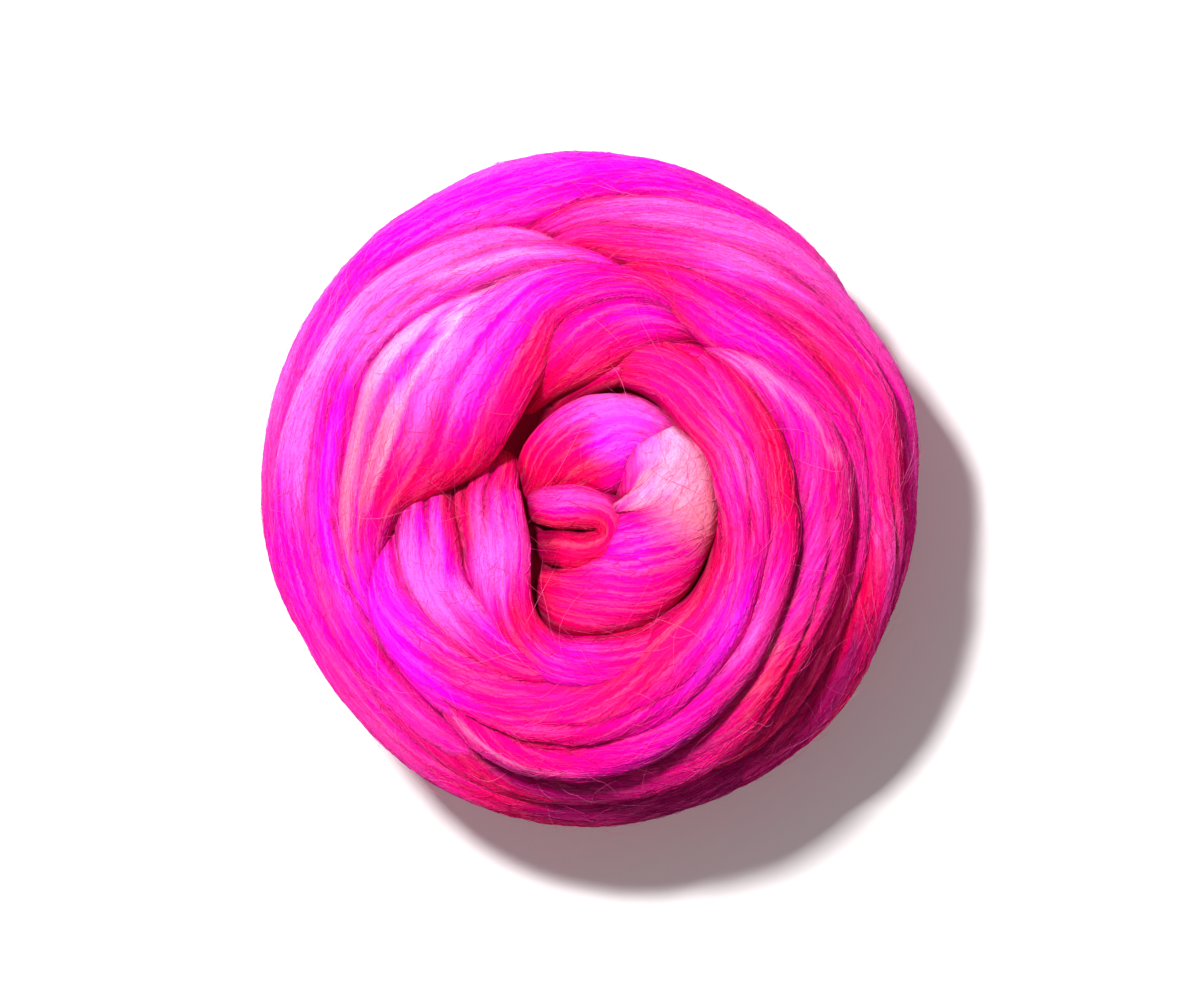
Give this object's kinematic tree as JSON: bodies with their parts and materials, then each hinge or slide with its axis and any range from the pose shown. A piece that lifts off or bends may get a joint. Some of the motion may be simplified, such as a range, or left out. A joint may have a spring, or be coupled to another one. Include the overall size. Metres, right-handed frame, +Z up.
{
  "type": "ball of wool roving",
  "caption": "Flattened ball of combed wool roving, wound from one soft band, its last turns coiled like a rose on top; rests on a small flat spot.",
  "frame": {"origin": "centre of the bounding box's underside, on the surface that the ball rests on", "axes": "+Z up through the ball's crown, along its shortest extent; +X to the right and +Y away, as the crown is seen from above in the picture"},
  "size_m": [0.1657, 0.1704, 0.0993],
  "materials": {
    "dyed_wool": "combed merino wool dyed hot pink, with magenta, violet and pale salmon streaks; soft silky sheen along the fibres"
  },
  "bodies": {
    "root": {"roving_ball": "dyed_wool"}
  },
  "joints": []
}
